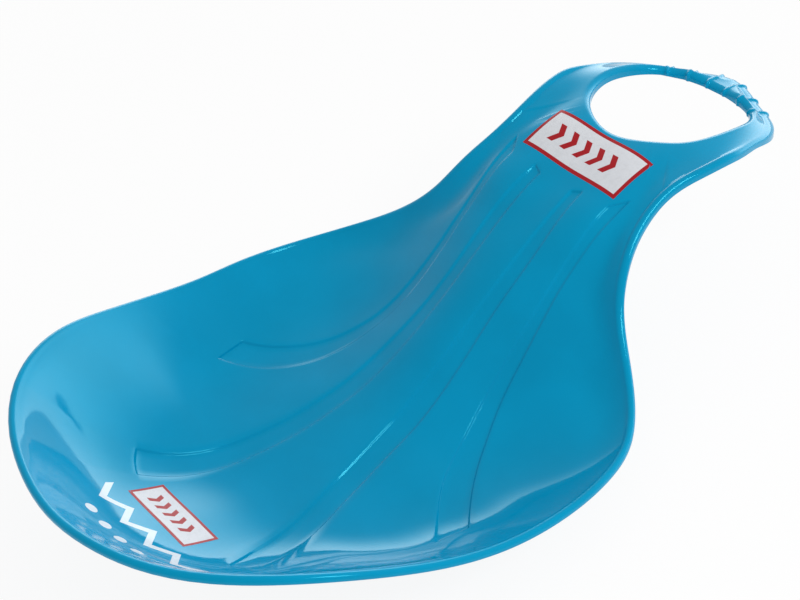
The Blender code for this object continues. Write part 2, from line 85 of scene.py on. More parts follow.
# Rim: x, y, z
RIM = (
    (0, *GRIP_TIP), (29, 288.5, 115.3), (56, 274.2, 117.2), (GRIP_HALF_WIDTH - 6.1, 249, 124.9),
    (GRIP_HALF_WIDTH, 217, 132.8), (GRIP_HALF_WIDTH - 2, 184, 134.2), (NECK_HALF_WIDTH, 150, 129.3),
    (NECK_HALF_WIDTH + 2.3, 122, 118.2), (81.8, 98.5, 103.8), (92.5, 81, 85.8),
    (117.4, 60.8, 60.3), (143.6, 40, 43.6), (158.5, 21.5, 37.2),
    (PAN_HALF_WIDTH - 6, -12, 36.8), (PAN_HALF_WIDTH, -55, 41.2), (PAN_HALF_WIDTH - 0.5, -90, 46),
    (PAN_HALF_WIDTH - 4.5, -132, 58), (PAN_HALF_WIDTH - 12.5, -172, 74), (152, -212, 91),
    (136.4, -241.3, 99.7), (111.9, -269.4, 103.6), (81.8, -289.7, 103.5), (42.5, -304, 102.2),
    (0, *PAN_TIP),
)
# Keel, on the plane of symmetry: y, z
KEEL = (
    GRIP_TIP, (284, 119), (256, 128), (217, 135), (187, 136.1), (156, 132.7), (125, 122.9),
    (93, 109.5), (50, 86.5), (6, 59), (-37, 34), (-64, 22), (-90, 15), (-115, 10), (-140, 7),
    (-165, 6), (-195, 12), (-230, 27), (-262, 45), (-288, 69), PAN_TIP,
)
# Shoulder of the ridge: y, share of the half width, z
SHOULDER = (
    (GRIP_TIP[0], 0.5, GRIP_TIP[1]), (256, 0.55, 128), (217, 0.52, 134.5), (156, 0.66, 132.3),
    (118, 0.78, 118.5), (92, 0.66, 105), (64, 0.5, 83.5), (45, 0.41, 67.5), (17, 0.39, 44),
    (-7, 0.42, 27.6), (-26, 0.45, 19), (-44, 0.45, 14.5), (-62, 0.42, 12.5), (-86, 0.38, 11.5),
    (-112, 0.34, 9.5), (-139, 0.32, 8.5), (-166, 0.32, 8.5), (-192, 0.36, 14), (-230, 0.45, 33),
    (-262, 0.5, 55), (-288, 0.5, 79), (PAN_TIP[0], 0.5, PAN_TIP[1]),
)
# Hollow beside the ridge and foot of the pan's wall: y, share of the half width, z
HOLLOW = (
    (GRIP_TIP[0], 0.8, GRIP_TIP[1]), (217, 0.8, 134), (156, 0.84, 129.5), (118, 0.9, 116),
    (92, 0.85, 96.5), (64, 0.78, 67), (45, 0.78, 46), (17, 0.8, 31.5), (-10, 0.78, 23.5),
    (-36, 0.74, 17.5), (-70, 0.7, 14), (-100, 0.7, 14.5), (-139, 0.76, 26), (-166, 0.78, 39),
    (-192, 0.78, 52), (-230, 0.78, 68), (-262, 0.78, 80), (-288, 0.78, 92),
    (PAN_TIP[0], 0.78, PAN_TIP[1]),
)
# Slope of the skin across the sled where it meets the rim: y, degrees
RIM_SLOPE = (
    (GRIP_TIP[0], -12), (250, -5), (217, 0), (118, 0), (92, 4), (64, 10), (45, 14), (30, 20),
    (10, 30), (-40, 36), (-80, 38), (-139, 39), (-192, 38), (-230, 36), (-262, 30), (-288, 18),
    (PAN_TIP[0], 0),
)

# Runners: their edges in plan from the neck to the rim of the pan: x, y
NECK_Y = 150
INNER_RUNNER_INSIDE = (
    (13, 150), (15, 115), (15, 60), (15, 10), (18, -50), (24, -105), (31, -145), (40, -184),
    (46.5, -210), (55, -232), (66, -268), (72, -294.5),
)
INNER_RUNNER_OUTSIDE = (
    (24, 150), (25, 119), (28, 70), (28, 30), (32, -12), (36, -45), (41, -90), (47, -125),
    (56, -162), (66, -195), (77, -219), (97, -248), (115, -268.3),
)
OUTER_RUNNER_INSIDE = (
    (47, 150), (48, 118), (49, 60), (52, 12), (59, -20), (70, -51), (81, -73), (91, -86),
    (103, -98), (115, -109), (127, -119), (144, -131), (PAN_HALF_WIDTH - 5, -150),
)
OUTER_RUNNER_OUTSIDE = (
    (58, 150), (59, 133), (58, 100), (58, 60), (62, 25), (69, -5), (79, -27), (90, -46),
    (102, -62), (116, -77), (132.5, -92), (148, -104), (PAN_HALF_WIDTH + 1, -121),
)
# Where the runners begin at the neck and end in the pan, on each edge: y
INNER_RUNNER_TOP = (115, 119)
INNER_RUNNER_END = (-232, -219)
OUTER_RUNNER_TOP = (118, 133)
OUTER_RUNNER_END = (-119, -92)
# How much nearer to the pan's front the row through the outer runners' ends crosses the keel and the
# two edges of the inner runner, and the row through the inner runners' ends crosses the keel
CROSS_ROW_LEAD = (16, 12, 8)
END_ROW_LEAD = 6
# Corner of the grid on the rim, beside the pan: x. Along the rim, the runners' top row is this far
# from the neck, and the rows through the outer and the inner ends are this far from the corner
CORNER_X = 160
CORNER_ROWS = (20, 28, 14)
# How late the columns swing out to the rim, as a power of the way along them: up to the outer
# runner's edge, and at the rim
RUNNER_SWING, RIM_SWING = 3, 1.3
# The most of a runner's width that one flank takes
WIDEST_FLANK = 0.4
# Where the soles under the inner runners begin, are full, begin to end and have ended: y
SOLE_ROWS = (-20, -80, -175, -230)
# Up to the first distance from the keel the soles are full, and at the second they have ended: x
SOLE_REACH = (62, 72)

# Rolled bead of the edge: width and drop of the roll, the skirt below it, and in degrees how
# steeply the roll rises at least where it leaves the skin
PAN_BEAD = (3.1, 3.3, 0.8, 60)
NECK_BEAD = (3.6, 3.6, 2.8, 60)
GRIP_BEAD = (13.5, 7.0, 4.5, -12)
# The bead along the sled: y and its sizes
BEAD_STATIONS = (
    (315, *GRIP_BEAD), (285, *GRIP_BEAD), (235, *NECK_BEAD[:3], 0), (200, *NECK_BEAD),
    (95, *NECK_BEAD), (20, *PAN_BEAD), (-315, *PAN_BEAD),
)
# The least skirt round the hand hole or the rim
LEAST_SKIRT = 1.0

# Hand hole: its outline in plan, and the lower edge of its flange: x, y and y, z
HOLE = (
    (0, 283.6), (24, 280.6), (41.3, 273.6), (52.6, 259), (56.6, 238), (54.8, 217), (48.6, 200.8),
    (35.2, 185.3), (17.5, 174.8), (0, 171.8),
)
HOLE_LOWER_EDGE = ((289, 112.5), (270, 115.5), (250, 120), (226, 125.5), (200, 127), (170, 126))
HOLE_ROLL, HOLE_DROP = 5.0, 4.0
# The lines from the neck row reach the hole over this share of the row's width
HOLE_NECK_SHARE = 0.62
# Behind this the rim belongs to the bar: y
BAR_Y = 240

# Grip rings, at these distances from the middle on both sides
RING_X = (9.0, 26.5, 44.0)

# Labels: their centres, the gap between film and skin, the points across and along a film, and how
# far the inner edge of the printed frame is blurred
NECK_LABEL_CENTRE = (0.7, 145.5)
FRONT_LABEL_CENTRE = (-7.8, -232.8)
LABEL_GAP = 0.08
LABEL_POINTS = (49, 21)
FRAME_BLUR = 0.15
# Chevrons of a label as shares of its size across: slant, half spacing, edge of a half stroke and
# ends of the row, and their top edge as shares of its size along
CHEVRON_SLANT, CHEVRON_HALF_SPACING = 0.6, 0.07
CHEVRON_EDGE, CHEVRON_ENDS, CHEVRON_TOP = (0.027, 0.031), (-0.33, 0.33), (0.2, 0.21)

# Print on the front wall: a zigzag and a row of dots, along x and up the wall from this y and z
PRINT_START = (-250, 37)
# How much a step up the wall rises and goes forward, and where the print fades out behind: y
WALL_RISE, WALL_LEAN = 0.6, 0.8
PRINT_BACK = (-242, -240)
ZIGZAG_ENDS, ZIGZAG_FOOT, ZIGZAG_RISE, ZIGZAG_EDGE = (-50, 62), 6, 14, (3.3, 3.7)
# The edge of a dot is given as squares of its radius
DOT_ENDS, DOT_LINE, DOT_SPACING, DOT_EDGE = (-30, 42), 39, 18, (19, 22)

# Lanes of the grid that hold the runners, and the lane beside the rim
INNER_LANE, OUTER_LANE, RIM_LANE = 1, 3, 4
# Grid of the skin: columns of each lane from the keel outwards, with a runner's flanks apart, and
# rows between the special rows
LANE_COLUMNS = (8, 4, 16, 4, 26)
FLANK_COLUMNS = 5
ROW_COUNTS = (10, 5, 76, 5, 26, 5, 26)
# Grid of the grip: rows round the hand hole, passes that smooth it, and lines over each side, each
# ring and each bay between rings. Then the steps of a bead's roll
HANDLE_ROWS = 16
HANDLE_SMOOTHING = 12
SIDE_LINES = 34
RING_LINES = 8
BAY_LINES = 8
BEAD_STEPS = 9
# How much of its height a ring has along the bar, and at the knobs at its two ends
RING_RIDGE, RING_KNOB = 0.45, 1.0

# Points that a rail is sampled at, and points of the rail round the hand hole's crest
RAIL_SAMPLES = 8001
CREST_POINTS = 49
# A spline that may not overshoot is at most this many times as steep as the flatter chord at a knot
STEEPEST = 3
# The rim has no width at its tips, where the shares across the sled still need one
LEAST_HALF_WIDTH = 0.001

# Distance in metres within which points are merged, and the same across the plane of symmetry
MERGE = 0.00001
MIRROR_MERGE = 0.00002
# Angles past which an edge is shaded sharp
MOULDING_SHARP = np.radians(45)
LABEL_SHARP = np.radians(40)

# Plastic: the shade of its mottle, its roughness with what scuffs and print add to it, its grain's
# bump, and the tint of its gloss
MOTTLE_SHADE = 0.93
GLOSS, SCUFF_ROUGHNESS, PRINT_ROUGHNESS = 0.07, 0.03, 0.12
GRAIN_STRENGTH, GRAIN_DEPTH = 0.03, 0.0002
GLOSS_TINT = (0.12, 0.88, 1.0, 1.0)
# Label film: the shade of its wear, and its roughness with what wear adds to it
WEAR_SHADE = 0.94
FILM_ROUGHNESS, WEAR_ROUGHNESS = 0.22, 0.14

# Floor, in metres: half its side, and how far it lies below the soles. Then its own colour, and how
# much of it is plain white to the camera
FLOOR_HALF, FLOOR_DROP = 3, 0.0006
FLOOR_COLOUR, FLOOR_WHITE = (0.93, 0.93, 0.93, 1), 0.9
WHITE = (1, 1, 1, 1)
# Cove: where it starts and is full round the room, as cosines, and over its foot and its top
COVE_SIDE, COVE_FOOT, COVE_TOP = (0.45, 0.85), (-0.4, -0.1), (0.15, 0.6)
# Camera: width of its sensor in millimetres, and how far it sees in metres
SENSOR_WIDTH, SIGHT = 36, 50
# Sockets of a Mix node that hold its colours and their mixture
COLOUR_A, COLOUR_B, COLOUR_MIX = 6, 7, 2


def knot_slopes(x, z, first=None, last=None):
    """Slopes at the knots of a cubic spline of continuous curvature, free at an end without one."""
    h = np.diff(x)
    d = np.diff(z) / h
    count = x.shape[-1]
    matrix = np.zeros(x.shape + (count,))
    right = np.zeros(x.shape)
    for i in range(1, count - 1):
        matrix[..., i, i - 1] = h[..., i]
        matrix[..., i, i] = 2 * (h[..., i - 1] + h[..., i])
        matrix[..., i, i + 1] = h[..., i - 1]
        right[..., i] = 3 * (h[..., i] * d[..., i - 1] + h[..., i - 1] * d[..., i])
    for end, beside, slope, secant in ((0, 1, first, d[..., 0]), (-1, -2, last, d[..., -1])):
        matrix[..., end, end] = 1 if slope is not None else 2
        matrix[..., end, beside] = 0 if slope is not None else 1
        right[..., end] = slope if slope is not None else 3 * secant
    return np.linalg.solve(matrix, right[..., None])[..., 0]


def cubic(x, z, slope, query, span):
    """Value of a cubic spline at query, which lies in the given span of its knots."""
    def pick(values, offset):
        return np.take_along_axis(values, (span + offset)[..., None], -1)[..., 0]
    x0, x1, z0, z1 = pick(x, 0), pick(x, 1), pick(z, 0), pick(z, 1)
    h = x1 - x0
    t = (query - x0) / h
    curve = h * t * (1 - t) * ((1 - t) * pick(slope, 0) - t * pick(slope, 1))
    return (1 + 2 * t) * (1 - t) ** 2 * z0 + t * t * (3 - 2 * t) * z1 + curve


class Spline:
    """A cubic spline through points given in rising or falling order."""

    def __init__(self, x, z, first=None, last=None, overshoot=True):
        x, z = np.array(x, float), np.array(z, float)
        if x[0] > x[-1]:
            x, z, first, last = x[::-1], z[::-1], last, first
        self.x, self.z = x, z
        self.slope = knot_slopes(x, z, first, last)
        if not overshoot:
            secant = np.diff(z) / np.diff(x)
            low = np.minimum(np.abs(np.r_[secant[0], secant]), np.abs(np.r_[secant, secant[-1]]))
            self.slope = np.clip(self.slope, -STEEPEST * low, STEEPEST * low)

    def __call__(self, query):
        query = np.clip(np.asarray(query, float), self.x[0], self.x[-1])
        span = np.clip(np.searchsorted(self.x, query) - 1, 0, len(self.x) - 2)
        wide = [np.broadcast_to(a, query.shape + a.shape) for a in (self.x, self.z, self.slope)]
        return cubic(*wide, query, span)


class Rail:
    """A curve through points by the length of its chords, square to the symmetry plane if asked."""

    def __init__(self, points, square_start=False, square_end=False):
        points = np.array(points, float)
        chords = np.linalg.norm(np.diff(points[:, :2], axis=0), axis=1)
        knots = np.r_[0, np.cumsum(chords)]
        self.length = knots[-1]
        self.axes = []
        for axis in range(points.shape[1]):
            out = 1 if axis == 0 else 0
            self.axes.append(Spline(knots, points[:, axis],
                                    out if square_start else None, -out if square_end else None))
        self.fine = np.linspace(0, self.length, RAIL_SAMPLES)
        self.fine_points = self(self.fine)

    def __call__(self, s):
        return np.stack([axis(s) for axis in self.axes], -1)

    def at(self, axis, value, start=0.0, end=None):
        """Length along the rail, between start and end, at which a coordinate takes a value."""
        end = self.length if end is None else end
        part = (self.fine >= start) & (self.fine <= end)
        values = self.fine_points[part, axis]
        order = np.argsort(values)
        return float(np.interp(value, values[order], self.fine[part][order]))

    def outward(self, s):
        """Unit normals in plan, to the left of the way along the rail."""
        step = 0.05
        way = self(np.clip(s + step, 0, self.length)) - self(np.clip(s - step, 0, self.length))
        way = way[..., :2] / np.linalg.norm(way[..., :2], axis=-1, keepdims=True)
        return np.stack([-way[..., 1], way[..., 0]], -1)


rim = Rail(RIM, square_start=True, square_end=True)
hole = Rail(HOLE, square_start=True, square_end=True)
keel_height = Spline(*zip(*KEEL))
shoulder_share = Spline(*list(zip(*SHOULDER))[:2], overshoot=False)
shoulder_height = Spline(*list(zip(*SHOULDER))[::2])
hollow_share = Spline(*list(zip(*HOLLOW))[:2], overshoot=False)
hollow_height = Spline(*list(zip(*HOLLOW))[::2])
rim_slope = Spline(*zip(*RIM_SLOPE), overshoot=False)
bead_size = [Spline([s[0] for s in BEAD_STATIONS], [s[k] for s in BEAD_STATIONS], overshoot=False)
             for k in (1, 2, 3, 4)]
hole_lower_edge = Spline(*zip(*HOLE_LOWER_EDGE))


def height(x, y):
    """Height of the upper skin: at each y, a spline across keel, shoulder, hollow and rim."""
    x, y = np.broadcast_arrays(np.abs(np.asarray(x, float)), np.asarray(y, float))
    ordered = rim.fine_points[::-1]
    half_width = np.maximum(np.interp(y, ordered[:, 1], ordered[:, 0]), LEAST_HALF_WIDTH)
    rim_height = np.interp(y, ordered[:, 1], ordered[:, 2])
    knots = np.stack([0 * y, shoulder_share(y), hollow_share(y), 1 + 0 * y], -1)
    heights = np.stack([keel_height(y), shoulder_height(y), hollow_height(y), rim_height], -1)
    slope = knot_slopes(knots, heights, 0, np.tan(np.radians(rim_slope(y))) * half_width)
    share = np.clip(x / half_width, 0, 1)
    span = np.clip((share[..., None] > knots[..., 1:-1]).sum(-1), 0, 2)
    return cubic(knots, heights, slope, share, span)


def ease(t):
    """A soft step from 0 to 1."""
    t = np.clip(t, 0, 1)
    return t * t * (3 - 2 * t)


def row_lengths(top, outer_end, inner_end, end, flank):
    """Lengths of the rows along a guide, from the places where the runners begin and end."""
    marks = (0, top, top + flank, outer_end - flank, outer_end, inner_end - flank, inner_end, end)
    rows = [0.0]
    for start, stop, count in zip(marks[:-1], marks[1:], ROW_COUNTS):
        rows += [start + (stop - start) * i / count for i in range(1, count + 1)]
    return np.array(rows)


def guides(flank):
    """Plan points of the rows on the keel, the four runner edges and the neck's edge."""
    neck_s = rim.at(1, NECK_Y)
    corner_s = rim.at(0, CORNER_X, neck_s, rim.at(1, 0))
    keel = Rail(((0, NECK_Y), (0, 0), (0, PAN_TIP[0])))
    inner_in, inner_out = Rail(INNER_RUNNER_INSIDE), Rail(INNER_RUNNER_OUTSIDE)
    outer_in, outer_out = Rail(OUTER_RUNNER_INSIDE), Rail(OUTER_RUNNER_OUTSIDE)
    lines = []
    inner_lines = (
        (keel, INNER_RUNNER_TOP[0], CROSS_ROW_LEAD[0], INNER_RUNNER_END[0] - END_ROW_LEAD),
        (inner_in, INNER_RUNNER_TOP[0], CROSS_ROW_LEAD[1], INNER_RUNNER_END[0]),
        (inner_out, INNER_RUNNER_TOP[1], CROSS_ROW_LEAD[2], INNER_RUNNER_END[1]),
    )
    for rail, top, lead, end in inner_lines:
        rows = row_lengths(rail.at(1, top), rail.at(1, OUTER_RUNNER_END[0] - lead), rail.at(1, end),
                           rail.length, flank)
        lines.append(rail(rows))
    for rail, side in ((outer_in, 0), (outer_out, 1)):
        stop = rail.at(1, OUTER_RUNNER_END[side])
        rows = row_lengths(rail.at(1, OUTER_RUNNER_TOP[side]), stop, (stop + rail.length) / 2,
                           rail.length, flank)
        lines.append(rail(rows))
    edge = corner_s - neck_s
    top, outer_lead, inner_lead = CORNER_ROWS
    edge_s = neck_s + row_lengths(top, edge - outer_lead, edge - inner_lead, edge, flank)
    lines.append(rim(edge_s)[:, :2])
    return lines, edge_s


def row_depths(lane):
    """How deep each row of a runner lane is sunk, from 0 to 1, with a soft step at both ends."""
    marks = np.cumsum((0,) + ROW_COUNTS)
    # Marks of row_lengths at which the outer and the inner runners end
    last = 4 if lane == OUTER_LANE else 6
    rows = np.arange(marks[-1] + 1)
    rise = ease((rows - marks[1]) / (marks[2] - marks[1]))
    fall = ease((marks[last] - rows) / (marks[last] - marks[last - 1]))
    return rise * fall


def lane_width(inner, outer):
    """Width of a lane at each row, square to its run."""
    across = outer - inner
    run = np.gradient((inner + outer) / 2, axis=0)
    run /= np.linalg.norm(run, axis=1, keepdims=True)
    return np.abs(across[:, 0] * run[:, 1] - across[:, 1] * run[:, 0])


def lane_columns(lane, inner, outer, flank):
    """Shares across a lane for each of its columns, and how deep each column is sunk."""
    rows = len(inner)
    count = LANE_COLUMNS[lane]
    if lane not in (INNER_LANE, OUTER_LANE):
        return [(np.full(rows, i / count), 0.0) for i in range(count)]
    edge = np.minimum(flank / lane_width(inner, outer), WIDEST_FLANK)
    columns = [(edge * i / FLANK_COLUMNS, ease(i / FLANK_COLUMNS)) for i in range(FLANK_COLUMNS)]
    columns += [(edge + (1 - 2 * edge) * i / count, 1.0) for i in range(count)]
    columns += [(1 - edge * (1 - i / FLANK_COLUMNS), ease(1 - i / FLANK_COLUMNS))
                for i in range(FLANK_COLUMNS)]
    return columns


def fan(flank):
    """The half grid of pan and ramp, how deep its points are sunk, and the rim lengths of its edges."""
    lines, edge_s = guides(flank)
    ends = [rim.length]
    for line in lines[1:-1]:
        gaps = np.linalg.norm(rim.fine_points[:, :2] - line[-1], axis=1)
        ends.append(rim.fine[gaps.argmin()])
    ends.append(edge_s[-1])
    columns, sunk, last_s = [], [], []
    for lane in range(len(LANE_COLUMNS)):
        inner, outer = lines[lane], lines[lane + 1]
        middle = (inner + outer) / 2
        along = np.r_[0, np.cumsum(np.linalg.norm(np.diff(middle, axis=0), axis=1))]
        last = RIM_SWING if lane == RIM_LANE else RUNNER_SWING
        for share, depth in lane_columns(lane, inner, outer, flank):
            bulge = (along / along[-1]) ** (RUNNER_SWING + (last - RUNNER_SWING) * share[0])
            points = inner + (outer - inner) * share[:, None]
            s = ends[lane] + (ends[lane + 1] - ends[lane]) * share[-1]
            columns.append(points + np.outer(bulge, rim(s)[:2] - points[-1]))
            sunk.append(depth * row_depths(lane))
            last_s.append(s)
    columns.append(lines[-1])
    sunk.append(np.zeros(len(edge_s)))
    last_s.append(edge_s[-1])
    plan = np.array(columns)
    z = height(plan[..., 0], plan[..., 1])
    z[:, -1] = rim(np.array(last_s))[:, 2]
    z[-1] = rim(edge_s)[:, 2]
    return np.concatenate([plan, z[..., None]], -1), np.array(sunk), np.array(last_s), edge_s


def hole_crest(s):
    """Plan points where the skin turns down into the hand hole."""
    return hole(s)[..., :2] + hole.outward(s) * HOLE_ROLL


def bar_stations(ring_half_width):
    """Lines across the bar: their distances from the middle, and how much of a ring each carries."""
    stations = []
    for k, x in enumerate(reversed(RING_X)):
        for i in range(RING_LINES + 1):
            turn = 2 * i / RING_LINES - 1
            stations.append((x - turn * ring_half_width, (1 - turn * turn) ** 2))
        below = RING_X[-2 - k] + ring_half_width if k + 1 < len(RING_X) else 0.0
        start = x - ring_half_width
        count = BAY_LINES + (k + 1 == len(RING_X))
        stations += [(start + (below - start) * i / count, 0.0) for i in range(1, count)]
    return stations + [(0.0, 0.0)]


def handle_lines(neck_row, neck_s, ring_half_width):
    """Lines from the hand hole to the neck row and the rim: lengths on the hole and rim, ring share."""
    crest = Rail(hole_crest(np.linspace(0, hole.length, CREST_POINTS)),
                 square_start=True, square_end=True)
    widest = crest.fine[crest.fine_points[:, 0].argmax()]
    bar_end = rim.at(1, BAR_Y)
    neck_share = crest.at(0, HOLE_NECK_SHARE * neck_row[-1, 0], widest, crest.length)
    lines = [(crest.length + (neck_share - crest.length) * x / neck_row[-1, 0], None, 0.0)
             for x in neck_row[:, 0]]
    stations = bar_stations(ring_half_width)
    first_hole = crest.at(0, stations[0][0], 0, widest)
    first_rim = rim.at(0, stations[0][0], 0, bar_end)
    for i in range(1, SIDE_LINES + 1):
        share = i / (SIDE_LINES + 1)
        lines.append((neck_share + (first_hole - neck_share) * share,
                      neck_s + (first_rim - neck_s) * share, 0.0))
    for x, ring in stations:
        lines.append((crest.at(0, x, 0, widest), rim.at(0, x, 0, bar_end), ring))
    lines[-1] = (0.0, 0.0, 0.0)
    return crest, lines


def rolled(crest, outward, slope, width, drop, lower):
    """Rows of points from the crest over the roll to the skirt's lower edge."""
    start = np.arctan2(1, -slope * width / drop)
    rows = [crest]
    for i in range(1, BEAD_STEPS + 1):
        turn = start * (1 - i / BEAD_STEPS)
        reach = width * (np.cos(turn) - np.cos(start))
        fall = drop * (np.sin(turn) - np.sin(start))
        rows.append(np.concatenate([crest[:, :2] + outward * reach[:, None],
                                    (crest[:, 2] + fall)[:, None]], 1))
    skirt = rows[-1].copy()
    skirt[:, 2] = np.minimum(lower(skirt), skirt[:, 2] - LEAST_SKIRT)
    rows.append((rows[-1] + skirt) / 2)
    rows.append(skirt)
    return np.array(rows)


def knobs(rows):
    """How high a ring stands on each row of a roll, with its knob half way down."""
    bump = np.sin(np.linspace(0, np.pi, rows))[:, None] ** 2
    return RING_RIDGE + (RING_KNOB - RING_RIDGE) * bump


def slope_at(points, outward):
    """Slope of the skin along a plan direction, just inside the given points."""
    step = 1.5
    inner = points[:, :2] - outward * step
    return (points[:, 2] - height(inner[:, 0], inner[:, 1])) / step


def rim_bead(s):
    """Rows of the rim's bead at lengths along the rim."""
    edge = rim(s)
    outward = rim.outward(s)
    outward[s <= 0] = (0, 1)
    outward[s >= rim.length] = (0, -1)
    width, drop, skirt, rise = (size(edge[:, 1]) for size in bead_size)
    start = np.maximum(slope_at(edge, outward), np.tan(np.radians(rise)))
    return rolled(edge, outward, start, width, drop, lambda p: p[:, 2] - skirt)


TIPS = rim_bead(np.array((0.0, rim.length)))[-1]
# The row frame has its origin under the middle of the sled's length
MIDDLE_Y = float(TIPS[:, 1].mean())


def placed(x, y, z):
    """A point of the rails, in millimetres, as a vector of the row frame in metres."""
    return Vector((x * MM, (y - MIDDLE_Y) * MM, z * MM))


def lay_grid(mesh, points, layers=None):
    """Add a grid to a bmesh and move each vertex to its point of a rows by columns array."""
    rows, columns = points.shape[:2]
    half = 0.5
    made = bmesh.ops.create_grid(mesh, x_segments=columns - 1, y_segments=rows - 1, size=half)["verts"]
    for vert in made:
        i = round((vert.co.y + half) * (rows - 1))
        j = round((vert.co.x + half) * (columns - 1))
        vert.co = placed(*points[i, j])
        for layer, values in (layers or {}).items():
            vert[layer] = float(values[i, j])
    return made


def finished(context, name, mesh, sharp):
    """The object of a finished bmesh, shaded smooth apart from edges past the sharp angle."""
    data = bpy.data.meshes.new(name)
    mesh.to_mesh(data)
    mesh.free()
    data.shade_smooth()
    data.set_sharp_from_angle(angle=sharp)
    piece = bpy.data.objects.new(name, data)
    context.scene.collection.objects.link(piece)
    return piece


class Value:
    """A shader socket in Python expressions: an operation on it adds its Math node."""

    def __init__(self, finish, socket):
        self.finish, self.socket = finish, socket

    def maths(self, operation, *values):
        node = self.finish.node("ShaderNodeMath", {"operation": operation}, dict(enumerate(values)))
        return Value(self.finish, node.outputs[0])

    def __add__(self, other):
        return self.maths("ADD", self, other)

    def __sub__(self, other):
        return self.maths("SUBTRACT", self, other)

    def __rsub__(self, other):
        return self.maths("SUBTRACT", other, self)

    def __mul__(self, other):
        return self.maths("MULTIPLY", self, other)

    def __truediv__(self, other):
        return self.maths("DIVIDE", self, other)

    def __abs__(self):
        return self.maths("ABSOLUTE", self)

    __radd__ = __add__
    __rmul__ = __mul__

    def lesser(self, other):
        return self.maths("MINIMUM", self, other)

    def greater(self, other):
        return self.maths("MAXIMUM", self, other)

    def wave(self, height):
        """A wave that rises with slope 1 from 0 to height and falls back."""
        return self.maths("PINGPONG", self, height)

    def between(self, start, end, soft=0.2):
        """1 from start to end, and 0 outside."""
        return self.soft_step(start - soft, start + soft) * (1 - self.soft_step(end - soft, end + soft))

    def soft_step(self, start, end):
        """0 below start, 1 past end, and smooth between them."""
        node = self.finish.node("ShaderNodeMapRange", {"interpolation_type": "SMOOTHSTEP"},
                                {"Value": self, "From Min": start, "From Max": end})
        return Value(self.finish, node.outputs["Result"])


class Finish:
    """A node material under construction."""

    def __init__(self, name, tree=None, output="ShaderNodeOutputMaterial"):
        if tree is None:
            self.material = bpy.data.materials.new(name)
            self.material.use_nodes = True
            tree = self.material.node_tree
        self.tree = tree
        self.tree.nodes.clear()
        self.output = self.node(output)

    def node(self, kind, settings=None, inputs=None):
        """Add a node: its settings first, then its sockets' values or links."""
        node = self.tree.nodes.new(kind)
        for name, value in (settings or {}).items():
            setattr(node, name, value)
        for name, value in (inputs or {}).items():
            if isinstance(value, Value):
                value = value.socket
            if isinstance(value, bpy.types.NodeSocket):
                self.tree.links.new(value, node.inputs[name])
            else:
                node.inputs[name].default_value = value
        return node

    def position(self):
        """The point in millimetres of the row frame, as a vector socket."""
        place = self.node("ShaderNodeTexCoord").outputs["Object"]
        return self.node("ShaderNodeMapping", {"vector_type": "POINT"},
                         {"Vector": place, "Scale": (1 / MM, 1 / MM, 1 / MM)}).outputs[0]

    def split(self, vector):
        node = self.node("ShaderNodeSeparateXYZ", None, {0: vector})
        return [Value(self, node.outputs[i]) for i in range(3)]

    def dot(self, vector, other):
        node = self.node("ShaderNodeVectorMath", {"operation": "DOT_PRODUCT"}, {0: vector, 1: other})
        return Value(self, node.outputs["Value"])

    def noise(self, vector, scale, detail=2.0, roughness=0.5):
        node = self.node("ShaderNodeTexNoise", None,
                         {"Vector": vector, "Scale": scale, "Detail": detail, "Roughness": roughness})
        return Value(self, node.outputs[0])

    def attribute(self, name):
        node = self.node("ShaderNodeAttribute", {"attribute_name": name})
        return Value(self, node.outputs["Fac"])

    def mix(self, factor, first, second):
        """A colour between two colours or colour sockets."""
        node = self.node("ShaderNodeMix", {"data_type": "RGBA"},
                         {0: factor, COLOUR_A: first, COLOUR_B: second})
        return node.outputs[COLOUR_MIX]

    def blend(self, factor, first, second):
        """Make the surface a mixture of two shader nodes."""
        self.show(self.node("ShaderNodeMixShader", None,
                            {0: factor, 1: first.outputs[0], 2: second.outputs[0]}))

    def surface(self, inputs):
        """Make the surface a Principled shader."""
        self.show(self.node("ShaderNodeBsdfPrincipled", None, inputs))

    def show(self, shader):
        """Make the surface a shader node."""
        self.tree.links.new(shader.outputs[0], self.output.inputs["Surface"])


def linear(colour):
    """A colour as seen on a screen, as the linear colour of a shader socket, with alpha 1."""
    values = [c / 12.92 if c <= 0.04045 else ((c + 0.055) / 1.055) ** 2.4 for c in colour[:3]]
    return (*values, 1.0)


def darker(colour, share):
    """A linear colour with this share of its light."""
    return (*(c * share for c in colour[:3]), 1.0)


def direction(azimuth, elevation):
    """Unit vector towards a side of the sled: azimuth 0 is -Y, and a quarter turn is +X."""
    flat = np.cos(elevation)
    return (np.sin(azimuth) * flat, -np.cos(azimuth) * flat, np.sin(elevation))


class SledMoulding(bpy.types.PropertyGroup):
    """Sizes and colours of the moulding and its print."""
    wall: FloatProperty(
        name="Wall", description="Thickness of the wall in millimetres", default=2.8, min=1.5, max=5)
    runner_depth: FloatProperty(
        name="Runner depth", description="How deep the runners are sunk, in millimetres",
        default=1.5, min=0, max=6)
    runner_flank: FloatProperty(
        name="Runner flank", description="Width of the slope at a runner's edge, in millimetres",
        default=2.1, min=1, max=5)
    sole: FloatProperty(
        name="Sole", description="Extra thickness under the inner runners, in millimetres",
        default=4.2, min=0, max=5)
    ring_height: FloatProperty(
        name="Ring height", description="How far the grip's rings stand out, in millimetres",
        default=1.7, min=0, max=3)
    ring_half_width: FloatProperty(
        name="Ring half width", description="Half the width of a ring, in millimetres",
        default=2.0, min=1, max=5)
    plastic: FloatVectorProperty(
        name="Plastic", description="Colour of the polyethylene as seen on a screen", subtype="COLOR",
        size=3, default=(0.0, 0.585, 0.765), min=0, max=1)
    print_colour: FloatVectorProperty(
        name="Print", description="Colour of the marks printed on the front wall", subtype="COLOR",
        size=3, default=(0.9, 0.92, 0.94), min=0, max=1)


